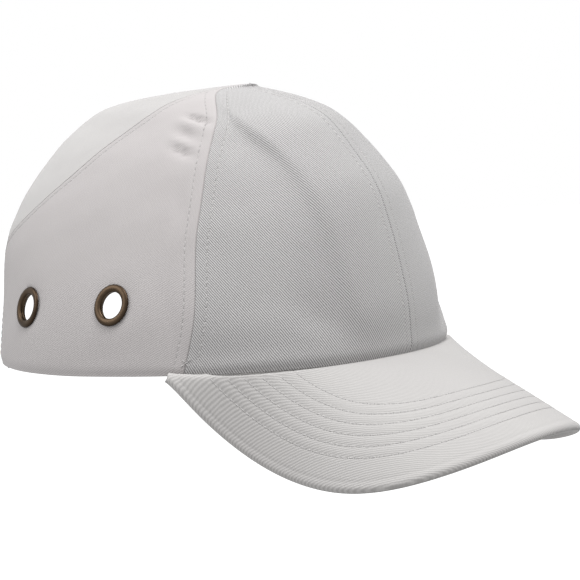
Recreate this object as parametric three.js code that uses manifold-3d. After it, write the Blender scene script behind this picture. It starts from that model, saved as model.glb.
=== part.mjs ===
// Bump cap: a fabric baseball cap with a long curved peak, and a moulded head shell with foam
// pads that drops out of it. Millimetres. +Z is up, the peak points along -Y, and the wearer's
// right side is -X. The origin is the centre of the head opening, level with its lowest edge.
import * as THREE from 'three';
import { LoftGeometry } from 'three/addons/geometries/LoftGeometry.js';
import { mergeVertices } from 'three/addons/utils/BufferGeometryUtils.js';
import Module from 'manifold-3d';

const wasm = await Module();
wasm.setup();

// ---- Driving dimensions -----------------------------------------------------------------------

// Crown: squarish oval sections from the lower edge to the top. Each row is height, half width,
// front y and rear y. The surface runs smoothly through them.
const CROWN_SECTIONS = [
  [0, 90, -104, 104],
  [24.5, 85, -104.5, 103],
  [54.5, 74, -99, 104],
  [74.5, 64, -92.5, 97.5],
  [92.5, 52.5, -80.5, 83.5],
  [106.5, 40, -67, 69],
  [115.5, 30, -47, 52.5],
  [120, 18.5, -31, 25],
];
const CROWN_TOP = { y: -25, z: 122 };
const SQUARENESS = 2.25;
const EDGE_LIFT_SIDE = 1.9;
const EDGE_LIFT_REAR = 5.6;

const GAP = 0.3;
const FABRIC = 1.4;

// Seams, as directions about the middle of each section: 0 is the front and 180 the back. Each row
// is a share of the way up and the seam's direction there.
const SIDE_SEAM = [
  [0, 61.5],
  [0.25, 55],
  [0.5, 49],
  [0.75, 39],
  [1, 36],
];
const BACK_SEAM = [
  [0, 172],
  [0.19, 160],
  [0.3, 144],
  [0.44, 125],
  [0.58, 108],
  [0.72, 82],
  [0.86, 56],
  [1, 50],
];
const PANEL = { top: 0.985, levelsBelowCorner: 4, levelsAboveCorner: 14 };
const PANEL_LEVELS = PANEL.levelsBelowCorner + PANEL.levelsAboveCorner;
const TAPE = { width: 12, inset: 2.2, thickness: 0.5 };

// Half-moon opening at the back, and the binding on its edge.
const ARCH = { halfWidth: 52, height: 56, cornerHeight: 40 };
const BINDING = { width: 3, thickness: 2, clearance: 1.9, footShare: 0.01 };

// Peak: its outer edge from the centre to the root, on the wearer's left (+X).
const PEAK_EDGE = [
  [0, -172.5, -33.5],
  [21, -169.5, -35],
  [40.5, -161, -39],
  [55.5, -148, -43.5],
  [65, -131.5, -47.3],
  [71, -113, -48.3],
  [75, -93, -44],
  [79, -74, -34],
  [83.5, -57.5, -20],
  [87, -46, -7],
  [89, -40, 0],
];
const PEAK = { rootAngle: 65, crownGap: 0.5, bulge: 1, endMargin: 0.012 };
const PEAK_LAYERS = { board: 1.5, cover: 0.6, gap: 0.6, boardInset: 1.5 };

const SWEATBAND = { inset: 3.1, thickness: 1.2, lowShare: 0.004, top: 19, endAngle: 141 };

// Metal eyelets: direction about the section's middle, and height.
const EYELET_PLACES = [
  ['front', 84.5, 31],
  ['rear', 121.5, 30],
];
const EYELET = { holeRadius: 5.85, barrelRadius: 6.6, flangeRadius: 9.5, flangeHeight: 1.3 };
const WASHER = { depth: 2.4, thickness: 0.7 };
const EYELET_SIDES = 20;
const ROLL_STEPS = 6;
const HOLE_DEPTH = 20;

// Head shell and its foam pads.
const SHELL = { inset: 6, thickness: 2, insideClimb: -0.15 };
const SHELL_RIM = { front: 28, side: 42, rear: 62, rearCurve: 6 };
const DOME = { around: 40, levels: 12, topShare: 0.9 };
const SHELL_VENT = { width: 9, length: 34, bottom: 40 };
// Direction of each slot from the vertical axis, and how far out its middle is.
const VENT_PLACES = [
  [28, 67],
  [52, 67],
  [-28, 67],
  [-52, 67],
  [118, 36],
  [142, 36],
  [-118, 36],
  [-142, 36],
];
const PAD = { inset: 9.9, thickness: 5 };
// Name, direction of the middle, half span, lower and upper share of the way up.
const RIM_PADS = [
  ['front_pad', 0, 40, 0.17, 0.32],
  ['side_pad_right', 95, 26, 0.22, 0.38],
  ['side_pad_left', -95, 26, 0.22, 0.38],
  ['rear_pad', 180, 24, 0.32, 0.46],
];
const CROWN_PAD = { lowShare: 0.74, insideClimb: -0.6 };

// Rear strap: two tails that overlap at the back, with hook-and-loop patches between them.
const STRAP = { bottom: -1, top: 12.5, thickness: 1, rootAngle: 25.5, tailAngle: 14 };
const PATCH = { thickness: 0.6, margin: 1.5, angle: 11 };
const FASTENER_INSET = -0.5;

const COLOURS = {
  backCloth: 0xe6e4e1,
  sideCloth: 0xc9c3c1,
  frontCloth: 0xbdbbb9,
  peakCloth: 0xd0cecb,
  tape: 0xb9b6b3,
  band: 0xc4c0bc,
  board: 0xeeeeec,
  shell: 0x2b2d30,
  foam: 0x3c3f43,
  bronze: 0x7c6750,
  hook: 0x8f8d8a,
};

// ---- Crown surface ----------------------------------------------------------------------------

const DEGREE = Math.PI / 180;
const TOP_ROW = [CROWN_TOP.z, 0, CROWN_TOP.y, CROWN_TOP.y];

// The rows carry on over the top as their own mirror, so that the surface is level there.
function mirroredRow([height, halfWidth, front, rear]) {
  return [height, -halfWidth, rear, front];
}

const rows = [...CROWN_SECTIONS, TOP_ROW, ...CROWN_SECTIONS.toReversed().map(mirroredRow)];
const rowShares = rows.map((row, index) => index / CROWN_SECTIONS.length);
const crownRows = new THREE.CubicInterpolant(rowShares, rows.flat(), 4);

function edgeLift(angle) {
  const sideways = Math.sin(angle * DEGREE) ** 2;
  const backward = Math.min(0, Math.cos(angle * DEGREE)) ** 2;
  return EDGE_LIFT_SIDE * sideways + EDGE_LIFT_REAR * backward;
}

// Point of the crown's outer face, a share of the way up from the lower edge to the top.
function crownPoint(share, angle) {
  const [height, halfWidth, front, rear] = crownRows.evaluate(share);
  const dx = -Math.sin(angle * DEGREE);
  const dy = -Math.cos(angle * DEGREE);
  const across = Math.abs(dx / halfWidth) ** SQUARENESS;
  const along = Math.abs((2 * dy) / (rear - front)) ** SQUARENESS;
  const reach = (across + along) ** (-1 / SQUARENESS);
  const lift = edgeLift(angle) * (1 - share) ** 8;
  return new THREE.Vector3(reach * dx, (front + rear) / 2 + reach * dy, height + lift);
}

// Moves a point of surface(u, v) along the surface's own normal.
function offsetPoint(surface, u, v, distance) {
  const step = 1e-3;
  const alongU = surface(u + step, v).sub(surface(u - step, v));
  const alongV = surface(u, v + step).sub(surface(u, v - step));
  const normal = alongU.cross(alongV).normalize();
  return surface(u, v).addScaledVector(normal, distance);
}

function insetCrownPoint(share, angle, inset) {
  return offsetPoint(crownPoint, share, angle, -inset);
}

// Share of the way up at which the crown reaches a height.
function shareAtHeight(height) {
  let low = 0;
  let high = 1;
  while (high - low > 1e-5) {
    const middle = (low + high) / 2;
    if (crownRows.evaluate(middle)[0] < height) low = middle;
    else high = middle;
  }
  return low;
}

// ---- Building helpers -------------------------------------------------------------------------

// A box bent onto a surface: map(u, v, depth) takes 0..1 each way, with depth 0 on the back.
function bentPlate(uSteps, vSteps, map) {
  const geometry = new THREE.BoxGeometry(1, 1, 1, uSteps, vSteps, 1);
  const position = geometry.getAttribute('position');
  for (let i = 0; i < position.count; i++) {
    const point = map(position.getX(i) + 0.5, position.getY(i) + 0.5, position.getZ(i) + 0.5);
    position.setXYZ(i, point.x, point.y, point.z);
  }
  return geometry;
}

function mirrored(geometry) {
  const copy = geometry.clone().scale(-1, 1, 1);
  const index = copy.getIndex();
  for (let i = 0; i < index.count; i += 3) {
    const second = index.getX(i + 1);
    index.setX(i + 1, index.getX(i + 2));
    index.setX(i + 2, second);
  }
  return copy;
}

function toManifold(geometry) {
  const bare = new THREE.BufferGeometry();
  bare.setAttribute('position', geometry.getAttribute('position').clone());
  bare.setIndex(geometry.getIndex());
  const merged = mergeVertices(bare, 1e-3);
  return new wasm.Manifold(new wasm.Mesh({
    numProp: 3,
    vertProperties: new Float32Array(merged.getAttribute('position').array),
    triVerts: new Uint32Array(merged.getIndex().array),
  }));
}

function cut(geometry, cutters) {
  let solid = toManifold(geometry);
  for (const cutter of cutters) solid = solid.subtract(toManifold(cutter));
  const mesh = solid.getMesh();
  const result = new THREE.BufferGeometry();
  result.setAttribute('position', new THREE.BufferAttribute(mesh.vertProperties, 3));
  result.setIndex(new THREE.BufferAttribute(mesh.triVerts, 1));
  result.computeVertexNormals();
  return result;
}

// Material that follows the crown between two insets, over a patch of it. place(u, v) gives the
// share of the way up, the direction and, for a level strip, the height. Directions grow clockwise
// seen from above, so u runs against them to keep the outside of the plate outside.
function crownPlate(uSteps, vSteps, inset, thickness, place) {
  return bentPlate(uSteps, vSteps, (u, v, depth) => {
    const [share, angle, height] = place(1 - u, v);
    const point = insetCrownPoint(share, angle, inset + thickness * (1 - depth));
    return height === undefined ? point : point.setZ(height);
  });
}

const lerp = THREE.MathUtils.lerp;

// Turns a sideways distance on the crown into degrees of direction.
function degreesFor(distance, share, angle) {
  const perDegree = crownPoint(share, angle + 0.5).distanceTo(crownPoint(share, angle - 0.5));
  return distance / perDegree;
}

const material = (color, roughness = 0.9, metalness = 0) =>
  new THREE.MeshStandardMaterial({ color, roughness, metalness });

const cap = new THREE.Group();

function add(name, geometry, look) {
  const mesh = new THREE.Mesh(geometry, look);
  mesh.name = name;
  cap.add(mesh);
  return mesh;
}

function addPair(name, geometry, look) {
  add(`${name}_right`, geometry, look);
  add(`${name}_left`, mirrored(geometry), look.clone());
}

// ---- Crown panels -----------------------------------------------------------------------------

function seamCurve(seam) {
  const shares = seam.map(([share]) => share);
  const angles = seam.map(([, angle]) => angle);
  const curve = new THREE.CubicInterpolant(shares, angles, 1);
  return (share) => curve.evaluate(share)[0];
}

const sideSeamAngle = seamCurve(SIDE_SEAM);
const backSeamAngle = seamCurve(BACK_SEAM);
const cornerShare = shareAtHeight(ARCH.cornerHeight);

// Half width of the half-moon opening at a height.
function archHalfWidth(height) {
  return ARCH.halfWidth * Math.sqrt(1 - (height / ARCH.height) ** 2);
}

// Direction of the opening's edge on the side panel, below the back seam's lower end.
function archAngle(share) {
  const [height, halfWidth, front, rear] = crownRows.evaluate(share);
  const archX = archHalfWidth(height);
  const back = (1 - (archX / halfWidth) ** SQUARENESS) ** (1 / SQUARENESS);
  return 180 - Math.atan2(archX, (back * (rear - front)) / 2) / DEGREE;
}

// Lower edge of the back panel: across is -1 at one back seam and 1 at the other.
function archShare(across) {
  const x = across * archHalfWidth(ARCH.cornerHeight);
  return shareAtHeight(ARCH.height * Math.sqrt(1 - (x / ARCH.halfWidth) ** 2));
}

// Share of the way up at each level of the front and side panels, which meet level by level.
function panelShare(v) {
  const level = v * PANEL_LEVELS - PANEL.levelsBelowCorner;
  if (level <= 0) return cornerShare * (1 + level / PANEL.levelsBelowCorner);
  return lerp(cornerShare, PANEL.top, level / PANEL.levelsAboveCorner);
}

function frontPanel() {
  return crownPlate(7, PANEL_LEVELS, 0, FABRIC, (u, v) => {
    const share = panelShare(v);
    const seam = sideSeamAngle(share);
    const half = degreesFor(GAP / 2, share, seam);
    return [share, lerp(half, seam - half, u)];
  });
}

function sidePanelBlank() {
  return crownPlate(10, PANEL_LEVELS, 0, FABRIC, (u, v) => {
    const share = panelShare(v);
    const front = sideSeamAngle(share);
    const half = degreesFor(GAP / 2, share, front);
    const rear = share <= cornerShare ? archAngle(share) : backSeamAngle(share);
    return [share, lerp(front + half, rear - half, u)];
  });
}

function backPanelPlace(across, climb) {
  const share = lerp(archShare(across), PANEL.top, climb);
  const half = degreesFor(GAP / 2, share, backSeamAngle(share));
  return [share, 180 - across * (180 - backSeamAngle(share) - half)];
}

function backPanel() {
  return crownPlate(14, PANEL.levelsAboveCorner, 0, FABRIC, (u, v) => backPanelPlace(1 - 2 * u, v));
}

// ---- Seam tapes and the opening's binding -------------------------------------------------------

function tapeAlong(seamAngle, from, to) {
  return crownPlate(1, PANEL.levelsAboveCorner, TAPE.inset, TAPE.thickness, (u, v) => {
    const share = lerp(from, to, v);
    const angle = seamAngle(share);
    const half = degreesFor(TAPE.width / 2, share, angle);
    return [share, lerp(angle - half, angle + half, u)];
  });
}

// Path of the opening's edge from one foot of the half-moon to the other.
function archPlace(along) {
  const sideStretch = 0.3;
  if (along < sideStretch) {
    const share = lerp(BINDING.footShare, cornerShare, along / sideStretch);
    return [share, archAngle(share)];
  }
  if (along > 1 - sideStretch) {
    const share = lerp(BINDING.footShare, cornerShare, (1 - along) / sideStretch);
    return [share, 360 - archAngle(share)];
  }
  const across = 1 - (2 * (along - sideStretch)) / (1 - 2 * sideStretch);
  return backPanelPlace(across, 0);
}

function archBinding() {
  const middle = new THREE.Vector3(0, CROWN_SECTIONS[0][3], 0);
  return bentPlate(30, 1, (u, v, depth) => {
    const [share, angle] = archPlace(1 - u);
    const inset = (FABRIC - BINDING.thickness) / 2 + BINDING.thickness * (1 - depth);
    const edge = insetCrownPoint(share, angle, inset);
    const inward = middle.clone().sub(edge).setY(0).normalize();
    const stand = BINDING.clearance + BINDING.width * (1 - v);
    return edge.addScaledVector(inward, stand);
  });
}

// ---- Peak ---------------------------------------------------------------------------------------

const peakEdge = new THREE.CatmullRomCurve3([
  ...PEAK_EDGE.toReversed().map(([x, y, z]) => new THREE.Vector3(-x, y, z)),
  ...PEAK_EDGE.slice(1).map(([x, y, z]) => new THREE.Vector3(x, y, z)),
]);

// Middle of the peak's thickness: u runs from the wearer's right root to the left one, and v from
// the crown to the outer edge.
function peakPoint(u, v) {
  const root = insetCrownPoint(0, lerp(PEAK.rootAngle, -PEAK.rootAngle, u), -PEAK.crownGap);
  const edge = peakEdge.getPoint(u);
  const arch = PEAK.bulge * 4 * v * (1 - v) * Math.sin(Math.PI * u);
  const point = root.lerp(edge, v);
  point.z += arch;
  return point;
}

function peakLayer(low, high, edgeInset) {
  return bentPlate(30, 6, (u, v, depth) => {
    const along = lerp(PEAK.endMargin, 1 - PEAK.endMargin, u);
    const reach = peakPoint(along, 0).distanceTo(peakPoint(along, 1));
    const across = lerp(PEAK.crownGap / reach, 1 - edgeInset / reach, 1 - v);
    return offsetPoint(peakPoint, along, across, -lerp(low, high, depth));
  });
}

// ---- Sweatband, eyelets -------------------------------------------------------------------------

function sweatband() {
  const top = shareAtHeight(SWEATBAND.top);
  return crownPlate(36, 2, SWEATBAND.inset, SWEATBAND.thickness, (u, v) => {
    const angle = lerp(-SWEATBAND.endAngle, SWEATBAND.endAngle, u);
    return [lerp(SWEATBAND.lowShare, top, v), angle];
  });
}

// Puts an upright piece on the crown, standing along the crown's normal.
function standOnCrown(object, share, angle, inset) {
  const outside = insetCrownPoint(share, angle, inset - 1);
  const foot = insetCrownPoint(share, angle, inset);
  object.position.copy(foot);
  object.quaternion.setFromUnitVectors(new THREE.Vector3(0, 1, 0), outside.sub(foot).normalize());
}

// Rolled flange outside the cloth, with the barrel that goes through it.
function eyeletGeometry() {
  const { holeRadius, barrelRadius, flangeRadius, flangeHeight } = EYELET;
  const bottom = -FABRIC - WASHER.depth;
  const middle = (holeRadius + flangeRadius) / 2;
  const half = (flangeRadius - holeRadius) / 2;
  const profile = [new THREE.Vector2(holeRadius, bottom), new THREE.Vector2(barrelRadius, bottom)];
  profile.push(new THREE.Vector2(barrelRadius, GAP));
  for (let step = 0; step <= ROLL_STEPS; step++) {
    const turn = (step / ROLL_STEPS) * Math.PI;
    const radius = middle + half * Math.cos(turn);
    profile.push(new THREE.Vector2(radius, GAP + flangeHeight * Math.sin(turn)));
  }
  profile.push(profile[0].clone());
  return new THREE.LatheGeometry(profile, EYELET_SIDES);
}

function washerGeometry() {
  const inner = EYELET.barrelRadius + GAP;
  const outer = EYELET.flangeRadius;
  const top = -WASHER.depth;
  const bottom = top - WASHER.thickness;
  const corners = [[inner, bottom], [outer, bottom], [outer, top], [inner, top], [inner, bottom]];
  const profile = corners.map(([x, y]) => new THREE.Vector2(x, y));
  return new THREE.LatheGeometry(profile, EYELET_SIDES);
}

// Hole through the right side panel for the barrel of an eyelet.
function eyeletHole(share, angle) {
  const radius = EYELET.barrelRadius + GAP;
  const hole = new THREE.Mesh(new THREE.CylinderGeometry(radius, radius, HOLE_DEPTH, EYELET_SIDES));
  standOnCrown(hole, share, angle, 0);
  hole.updateMatrix();
  return hole.geometry.applyMatrix4(hole.matrix);
}

function addEyelets() {
  for (const [name, angle, height] of EYELET_PLACES) {
    const share = shareAtHeight(height);
    for (const [side, sign] of [['right', 1], ['left', -1]]) {
      const bronze = material(COLOURS.bronze, 0.4, 1);
      const eyelet = add(`eyelet_${name}_${side}`, eyeletGeometry(), bronze);
      standOnCrown(eyelet, share, sign * angle, 0);
      const washer = add(`washer_${name}_${side}`, washerGeometry(), bronze.clone());
      standOnCrown(washer, share, sign * angle, 0);
    }
  }
}

function sidePanel() {
  const holes = EYELET_PLACES.map(([, angle, height]) => eyeletHole(shareAtHeight(height), angle));
  return cut(sidePanelBlank(), holes);
}

// ---- Head shell and pads ------------------------------------------------------------------------

// Share of the way up of the shell's rim: low at the forehead, high over the rear opening.
function shellRim(angle) {
  const forward = Math.cos(angle * DEGREE);
  const end = forward > 0 ? SHELL_RIM.front : SHELL_RIM.rear;
  const curve = forward > 0 ? 2 : SHELL_RIM.rearCurve;
  return shareAtHeight(lerp(SHELL_RIM.side, end, Math.abs(forward) ** curve));
}

// Solid dome under the crown, down to rim(angle). A climb below 0 carries on under the rim.
function dome(inset, rim, lowestClimb) {
  const rings = [];
  for (let level = 0; level <= DOME.levels; level++) {
    const climb = lerp(lowestClimb, 1, level / DOME.levels);
    const ring = [];
    for (let step = 0; step < DOME.around; step++) {
      const angle = (-360 * step) / DOME.around;
      ring.push(insetCrownPoint(lerp(rim(angle), DOME.topShare, climb), angle, inset));
    }
    rings.push(ring);
  }
  return new LoftGeometry(rings, { capStart: true, capEnd: true });
}

// Upright slot with round ends, long way towards the middle, that goes down through the dome.
function ventCutter([angle, reach]) {
  const radius = SHELL_VENT.width / 2;
  const straight = SHELL_VENT.length / 2 - radius;
  const outline = new THREE.Shape();
  outline.absarc(straight, 0, radius, -Math.PI / 2, Math.PI / 2);
  outline.absarc(-straight, 0, radius, Math.PI / 2, (3 * Math.PI) / 2);
  const extent = { depth: CROWN_TOP.z, bevelEnabled: false, curveSegments: 6 };
  const slot = new THREE.ExtrudeGeometry(outline, extent);
  const turn = (90 - angle) * DEGREE;
  slot.rotateZ(turn);
  return slot.translate(Math.cos(turn) * reach, Math.sin(turn) * reach, SHELL_VENT.bottom);
}

function headShell() {
  const inside = dome(SHELL.inset + SHELL.thickness, shellRim, SHELL.insideClimb);
  return cut(dome(SHELL.inset, shellRim, 0), [inside, ...VENT_PLACES.map(ventCutter)]);
}

function rimPad(middle, span, low, high) {
  return crownPlate(8, 4, PAD.inset, PAD.thickness, (u, v) => {
    return [lerp(low, high, v), lerp(middle - span, middle + span, u)];
  });
}

// Oval pad over the top of the head.
function crownPad() {
  const rim = () => CROWN_PAD.lowShare;
  return cut(dome(PAD.inset, rim, 0), [dome(PAD.inset + PAD.thickness, rim, CROWN_PAD.insideClimb)]);
}

// ---- Rear strap ---------------------------------------------------------------------------------

// Level band across the opening, from one direction to another.
function strapBand(inset, thickness, from, to, margin) {
  return crownPlate(12, 1, inset, thickness, (u, v) => {
    const height = lerp(STRAP.bottom + margin, STRAP.top - margin, v);
    return [shareAtHeight(height), lerp(from, to, u), height];
  });
}

// The right tail lies outside the left one, and the two patches lie between them.
function addStrap() {
  const { thickness, rootAngle, tailAngle } = STRAP;
  const loopInset = FASTENER_INSET + thickness + GAP;
  const hookInset = loopInset + PATCH.thickness + GAP;
  const innerInset = hookInset + PATCH.thickness + GAP;
  const rightTail = [180 - rootAngle, 180 + tailAngle, 0];
  const leftTail = [180 - tailAngle, 180 + rootAngle, 0];
  const patch = [180 - PATCH.angle, 180 + PATCH.angle, PATCH.margin];
  const cloth = material(COLOURS.sideCloth);
  const tape = material(COLOURS.hook);
  add('strap_right', strapBand(FASTENER_INSET, thickness, ...rightTail), cloth);
  add('strap_loop_patch', strapBand(loopInset, PATCH.thickness, ...patch), tape);
  add('strap_hook_patch', strapBand(hookInset, PATCH.thickness, ...patch), tape.clone());
  add('strap_left', strapBand(innerInset, thickness, ...leftTail), cloth.clone());
}

// ---- Assembly -----------------------------------------------------------------------------------

addPair('front_panel', frontPanel(), material(COLOURS.frontCloth));
addPair('side_panel', sidePanel(), material(COLOURS.sideCloth));
add('back_panel', backPanel(), material(COLOURS.backCloth));
addEyelets();

add('seam_tape_front', tapeAlong(() => 0, 0.16, 0.9), material(COLOURS.tape));
addPair('seam_tape_side', tapeAlong(sideSeamAngle, 0.16, 0.8), material(COLOURS.tape));
addPair('seam_tape_back', tapeAlong(backSeamAngle, cornerShare + 0.02, 0.7), material(COLOURS.tape));
add('arch_binding', archBinding(), material(COLOURS.tape));

const halfBoard = PEAK_LAYERS.board / 2;
const coverNear = halfBoard + PEAK_LAYERS.gap;
const coverFar = coverNear + PEAK_LAYERS.cover;
add('peak_board', peakLayer(-halfBoard, halfBoard, PEAK_LAYERS.boardInset), material(COLOURS.board, 0.5));
add('peak_top_cover', peakLayer(coverNear, coverFar, 0), material(COLOURS.peakCloth));
add('peak_under_cover', peakLayer(-coverFar, -coverNear, 0), material(COLOURS.peakCloth));

add('sweatband', sweatband(), material(COLOURS.band));
add('impact_shell', headShell(), material(COLOURS.shell, 0.45));
for (const [name, middle, span, low, high] of RIM_PADS) {
  add(name, rimPad(middle, span, low, high), material(COLOURS.foam));
}
add('crown_pad', crownPad(), material(COLOURS.foam));
addStrap();

export default cap;
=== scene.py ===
"""Looks of a fabric bump cap: sewn twill panels, a stitched peak, eyelets and a padded head shell.

Lengths are in metres in the row frame: +Z up, the peak along -Y, the wearer's right side at -X.
Directions on the crown are degrees about the middle of each section: 0 is the front, 180 the back.
"""

import math

import bmesh
import bpy
import numpy as np
from mathutils import Matrix, Vector


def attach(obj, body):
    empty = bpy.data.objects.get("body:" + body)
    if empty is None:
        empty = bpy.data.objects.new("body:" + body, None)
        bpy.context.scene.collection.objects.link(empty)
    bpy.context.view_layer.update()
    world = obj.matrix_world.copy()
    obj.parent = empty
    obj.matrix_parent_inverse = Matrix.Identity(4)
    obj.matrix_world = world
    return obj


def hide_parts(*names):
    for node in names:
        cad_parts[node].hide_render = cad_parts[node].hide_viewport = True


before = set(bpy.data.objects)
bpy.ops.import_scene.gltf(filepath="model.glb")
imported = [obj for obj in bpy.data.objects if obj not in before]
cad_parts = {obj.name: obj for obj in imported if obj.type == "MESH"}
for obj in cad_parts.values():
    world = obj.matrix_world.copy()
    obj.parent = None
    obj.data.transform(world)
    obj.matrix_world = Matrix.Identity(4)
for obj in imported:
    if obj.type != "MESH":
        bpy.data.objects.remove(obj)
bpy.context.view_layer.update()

MM = 0.001

# ---- Driving dimensions, in millimetres, as in the part -------------------------------------

# Height, half width, front y and rear y of the crown's sections.
CROWN_SECTIONS = [
    [0, 90, -104, 104],
    [24.5, 85, -104.5, 103],
    [54.5, 74, -99, 104],
    [74.5, 64, -92.5, 97.5],
    [92.5, 52.5, -80.5, 83.5],
    [106.5, 40, -67, 69],
    [115.5, 30, -47, 52.5],
    [120, 18.5, -31, 25],
]
CROWN_TOP_Y, CROWN_TOP_Z = -25, 122
SQUARENESS = 2.25
EDGE_LIFT_SIDE, EDGE_LIFT_REAR = 1.9, 5.6
SIDE_SEAM = [[0, 61.5], [0.25, 55], [0.5, 49], [0.75, 39], [1, 36]]
BACK_SEAM = [
    [0, 172],
    [0.19, 160],
    [0.3, 144],
    [0.44, 125],
    [0.58, 108],
    [0.72, 82],
    [0.86, 56],
    [1, 50],
]
ARCH_HALF_WIDTH, ARCH_HEIGHT, ARCH_CORNER = 52, 56, 40
PEAK_EDGE = [
    [0, -172.5, -33.5],
    [21, -169.5, -35],
    [40.5, -161, -39],
    [55.5, -148, -43.5],
    [65, -131.5, -47.3],
    [71, -113, -48.3],
    [75, -93, -44],
    [79, -74, -34],
    [83.5, -57.5, -20],
    [87, -46, -7],
    [89, -40, 0],
]
PEAK_ROOT_ANGLE, PEAK_CROWN_GAP, PEAK_BULGE = 65, 0.5, 1
PEAK_HALF_THICKNESS, PEAK_CLOTH = 1.95, 0.6
PEAK_ROOT_DROP = 1.9  # the peak's root is tucked under the crown's hem
PEAK_ALLOWANCE = 6  # the cover runs on, up inside the crown, where it is sewn in
PEAK_ROW_STEP = 4.96
PEAK_STITCH_ROWS = [14.2 + PEAK_ROW_STEP * row for row in range(6)]
EYELETS = {"front": (84.5, 31), "rear": (121.5, 30)}
EYELET_HOLE, EYELET_BARREL, EYELET_FLANGE = 5.85, 6.6, 9.5

CLOTH = 1.3  # thickness of a panel
STITCH_PITCH, STITCH_LENGTH, THREAD = 3.0, 2.3, 0.24


# ---- Surfaces -------------------------------------------------------------------------------


def smooth_table(table):
    """Smooth curve through rows of [knot, value...], as a function of the knot."""
    rows = np.array(table, float)
    knots, values = rows[:, 0], rows[:, 1:]
    before = 2 * values[0] - values[1]
    after = 2 * values[-1] - values[-2]
    padded = np.vstack([before, values, after])
    spread = np.concatenate([[2 * knots[0] - knots[1]], knots, [2 * knots[-1] - knots[-2]]])

    def evaluate(at):
        at = np.clip(np.asarray(at, float), knots[0], knots[-1])
        i = np.clip(np.searchsorted(knots, at, side="right") - 1, 0, len(knots) - 2)
        width = (knots[i + 1] - knots[i])[..., None]
        p = ((at - knots[i]) / (knots[i + 1] - knots[i]))[..., None]
        a, b, c, d = (padded[i + k] for k in range(4))
        slope_b = (c - a) / (spread[i + 2] - spread[i])[..., None] * width
        slope_c = (d - b) / (spread[i + 3] - spread[i + 1])[..., None] * width
        return (
            (2 * p**3 - 3 * p**2 + 1) * b
            + (p**3 - 2 * p**2 + p) * slope_b
            + (3 * p**2 - 2 * p**3) * c
            + (p**3 - p**2) * slope_c
        )

    return evaluate


def crown_table():
    top = [CROWN_TOP_Z, 0, CROWN_TOP_Y, CROWN_TOP_Y]
    over = [[h, -a, rear, front] for h, a, front, rear in reversed(CROWN_SECTIONS)]
    rows = CROWN_SECTIONS + [top] + over
    return [[i / len(CROWN_SECTIONS), *row] for i, row in enumerate(rows)]


crown_rows = smooth_table(crown_table())
side_seam_rows = smooth_table(SIDE_SEAM)
back_seam_rows = smooth_table(BACK_SEAM)


def side_seam(share):
    return side_seam_rows(share)[..., 0]


def back_seam(share):
    return back_seam_rows(share)[..., 0]


def crown_point(share, angle):
    """Point of the crown's outer face, in millimetres."""
    share, angle = np.broadcast_arrays(np.asarray(share, float), np.asarray(angle, float))
    height, half_width, front, rear = np.moveaxis(crown_rows(share), -1, 0)
    turn = np.radians(angle)
    dx, dy = -np.sin(turn), -np.cos(turn)
    half_width = np.where(np.abs(half_width) < 1e-6, 1e-6, np.abs(half_width))
    half_length = np.maximum(np.abs(rear - front) / 2, 1e-6)
    squared = np.abs(dx / half_width) ** SQUARENESS + np.abs(dy / half_length) ** SQUARENESS
    reach = squared ** (-1 / SQUARENESS)
    lift = EDGE_LIFT_SIDE * dx**2 + EDGE_LIFT_REAR * np.maximum(0, dy) ** 2
    z = height + lift * np.clip(1 - share, 0, 1) ** 8
    return np.stack([reach * dx, (front + rear) / 2 + reach * dy, z], -1)


def crown_normal(share, angle):
    share = np.clip(share, 0.001, 0.98)
    up = crown_point(share + 1e-3, angle) - crown_point(share - 1e-3, angle)
    along = crown_point(share, np.asarray(angle) + 0.05) - crown_point(share, np.asarray(angle) - 0.05)
    normal = np.cross(up, along)
    return normal / np.linalg.norm(normal, axis=-1, keepdims=True)


def on_crown(share, angle, out=0.0):
    """Crown point moved out along the normal, in millimetres."""
    return crown_point(share, angle) + np.asarray(out)[..., None] * crown_normal(share, angle)


def share_at_height(height):
    shares = np.linspace(0, 1, 2001)
    return float(np.interp(height, crown_rows(shares)[:, 0], shares))


CORNER_SHARE = share_at_height(ARCH_CORNER)


def arch_angle(share):
    """Direction of the rear opening's edge, below the back seam's lower end."""
    height, half_width, front, rear = np.moveaxis(crown_rows(share), -1, 0)
    arch_x = ARCH_HALF_WIDTH * np.sqrt(np.maximum(0, 1 - (height / ARCH_HEIGHT) ** 2))
    back = np.maximum(0, 1 - (arch_x / half_width) ** SQUARENESS) ** (1 / SQUARENESS)
    return 180 - np.degrees(np.arctan2(arch_x, back * (rear - front) / 2))


def arch_share(across):
    """Lower edge of the back panel; across is -1 at one back seam and 1 at the other."""
    corner_x = ARCH_HALF_WIDTH * math.sqrt(1 - (ARCH_CORNER / ARCH_HEIGHT) ** 2)
    height = ARCH_HEIGHT * np.sqrt(1 - (np.asarray(across) * corner_x / ARCH_HALF_WIDTH) ** 2)
    shares = np.linspace(0, 1, 2001)
    return np.interp(height, crown_rows(shares)[:, 0], shares)


# ---- Meshes ---------------------------------------------------------------------------------


def new_object(name, points, faces, uvs=None, smooth=True):
    """A mesh piece from points in millimetres; uvs are millimetres along the cloth."""
    mesh = bpy.data.meshes.new(name)
    mesh.from_pydata([tuple(p) for p in np.asarray(points) * MM], [], faces)
    if uvs is not None:
        layer = mesh.uv_layers.new(name="Weave")
        index = np.empty(len(mesh.loops), int)
        mesh.loops.foreach_get("vertex_index", index)
        layer.data.foreach_set("uv", (np.asarray(uvs)[index] * MM).astype(np.float32).ravel())
    mesh.polygons.foreach_set("use_smooth", [smooth] * len(mesh.polygons))
    mesh.update()
    piece = bpy.data.objects.new(name, mesh)
    bpy.context.scene.collection.objects.link(piece)
    return piece


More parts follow.
